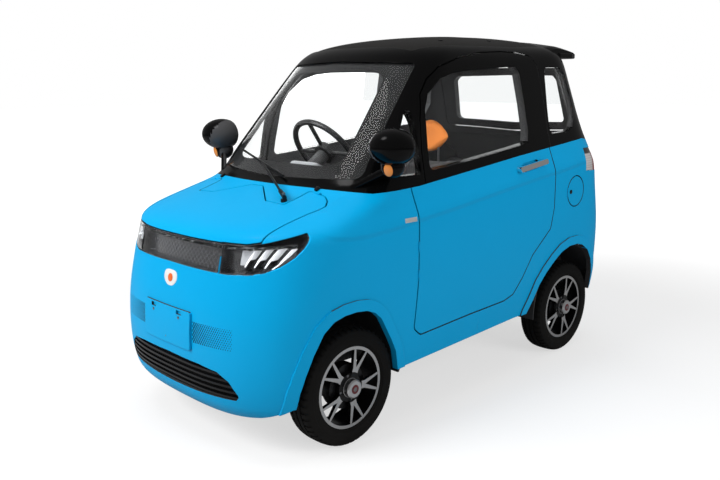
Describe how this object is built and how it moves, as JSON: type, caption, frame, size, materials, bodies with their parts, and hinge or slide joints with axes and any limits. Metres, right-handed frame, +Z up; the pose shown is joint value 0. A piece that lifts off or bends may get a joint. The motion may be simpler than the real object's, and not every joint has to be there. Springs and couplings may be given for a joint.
{
  "type": "microcar",
  "caption": "Small two-door electric cabin car with a tall black glasshouse, rounded blue body, slim light bar and forked-spoke wheels.",
  "frame": {"origin": "on the ground under the middle of the car's overall box", "axes": "+Z up, the nose points to -Y, the car's left side is +X"},
  "size_m": [1.3378, 2.5189, 1.6439],
  "materials": {
    "body_blue": "gloss",
    "cab_black": "gloss",
    "roof_black": "matte",
    "trim_black": "satin",
    "glass": "gloss",
    "lamp": "gloss",
    "tail_red": "gloss",
    "rim_dark": "satin",
    "tyre": "matte",
    "steel": "gloss",
    "lamp_clear": "gloss",
    "frame_black": "satin",
    "cast": "rough",
    "motor": "satin",
    "inside": "matte",
    "seat": "satin",
    "headrest": "matte"
  },
  "bodies": {
    "car": {"front_body": "body_blue", "rear_body": "body_blue", "plate_panel": "body_blue", "cab_frame": "cab_black", "mirrors": "cab_black", "roof_panel": "roof_black", "front_grille": "trim_black", "wiper": "trim_black", "lamp_covers": "lamp_clear", "lamp_housings": "lamp", "tail_lamps": "tail_red", "windscreen": "glass", "quarter_glass": "glass", "chassis_frame": "frame_black", "front_axle": "frame_black", "rear_axle": "frame_black", "drive_motor": "motor", "battery_box": "frame_black", "floor_pan": "inside", "bulkheads": "inside", "wheel_houses": "inside", "dashboard": "inside", "driver_seat": "seat", "rear_bench": "seat", "headrest": "headrest"},
    "door_left": {"door_left": "body_blue", "door_frame_left": "cab_black", "door_glass_left": "glass", "door_handle_left": "steel"},
    "door_right": {"door_right": "body_blue", "door_frame_right": "cab_black", "door_glass_right": "glass", "door_handle_right": "steel"},
    "hood": {"hood": "body_blue"},
    "hatch": {"hatch_frame": "cab_black", "hatch_glass": "glass"},
    "charge_flap": {"charge_flap": "body_blue"},
    "steering_wheel": {"steering_wheel": "trim_black"},
    "knuckle_left": {"knuckle_left": "cast"},
    "knuckle_right": {"knuckle_right": "cast"},
    "wheel_front_left": {"rim_front_left": "rim_dark", "tyre_front_left": "tyre"},
    "wheel_front_right": {"rim_front_right": "rim_dark", "tyre_front_right": "tyre"},
    "wheel_rear_left": {"rim_rear_left": "rim_dark", "tyre_rear_left": "tyre"},
    "wheel_rear_right": {"rim_rear_right": "rim_dark", "tyre_rear_right": "tyre"}
  },
  "joints": [
    {"name": "steering_turn", "type": "hinge", "parent": "car", "child": "steering_wheel", "pos_m": [0, -0.395, 1.105], "axis": [0, 0.8192, 0.5736], "range_deg": [-450, 450]},
    {"name": "steer_left", "type": "hinge", "parent": "car", "child": "knuckle_left", "pos_m": [0.428, -0.788, 0.241], "axis": [0, 0, 1], "range_deg": [-30, 30]},
    {"name": "steer_right", "type": "hinge", "parent": "car", "child": "knuckle_right", "pos_m": [-0.428, -0.788, 0.241], "axis": [0, 0, 1], "range_deg": [-30, 30]},
    {"name": "spin_front_left", "type": "hinge", "parent": "knuckle_left", "child": "wheel_front_left", "pos_m": [0.505, -0.788, 0.241], "axis": [1, 0, 0], "continuous": true},
    {"name": "spin_front_right", "type": "hinge", "parent": "knuckle_right", "child": "wheel_front_right", "pos_m": [-0.505, -0.788, 0.241], "axis": [1, 0, 0], "continuous": true},
    {"name": "spin_rear_left", "type": "hinge", "parent": "car", "child": "wheel_rear_left", "pos_m": [0.505, 0.788, 0.241], "axis": [1, 0, 0], "continuous": true},
    {"name": "spin_rear_right", "type": "hinge", "parent": "car", "child": "wheel_rear_right", "pos_m": [-0.505, 0.788, 0.241], "axis": [1, 0, 0], "continuous": true},
    {"name": "door_swing_left", "type": "hinge", "parent": "car", "child": "door_left", "pos_m": [0.59986, -0.427, 0.7], "axis": [0, 0, -1], "range_deg": [0, 65]},
    {"name": "door_swing_right", "type": "hinge", "parent": "car", "child": "door_right", "pos_m": [-0.59986, -0.427, 0.7], "axis": [0, 0, 1], "range_deg": [0, 65]},
    {"name": "hood_swing", "type": "hinge", "parent": "car", "child": "hood", "pos_m": [0, -0.754, 0.98849], "axis": [-1, 0, 0], "range_deg": [0, 60]},
    {"name": "hatch_swing", "type": "hinge", "parent": "car", "child": "hatch", "pos_m": [0, 1.02515, 1.496], "axis": [1, 0, 0], "range_deg": [0, 80]},
    {"name": "flap_swing", "type": "hinge", "parent": "car", "child": "charge_flap", "pos_m": [0.59946, 0.7212, 0.865], "axis": [0, 0, -1], "range_deg": [0, 100]}
  ],
  "couplings": [
    {"joint": "steer_left", "follows": "steering_turn", "ratio": 0.066},
    {"joint": "steer_right", "follows": "steering_turn", "ratio": 0.066}
  ]
}
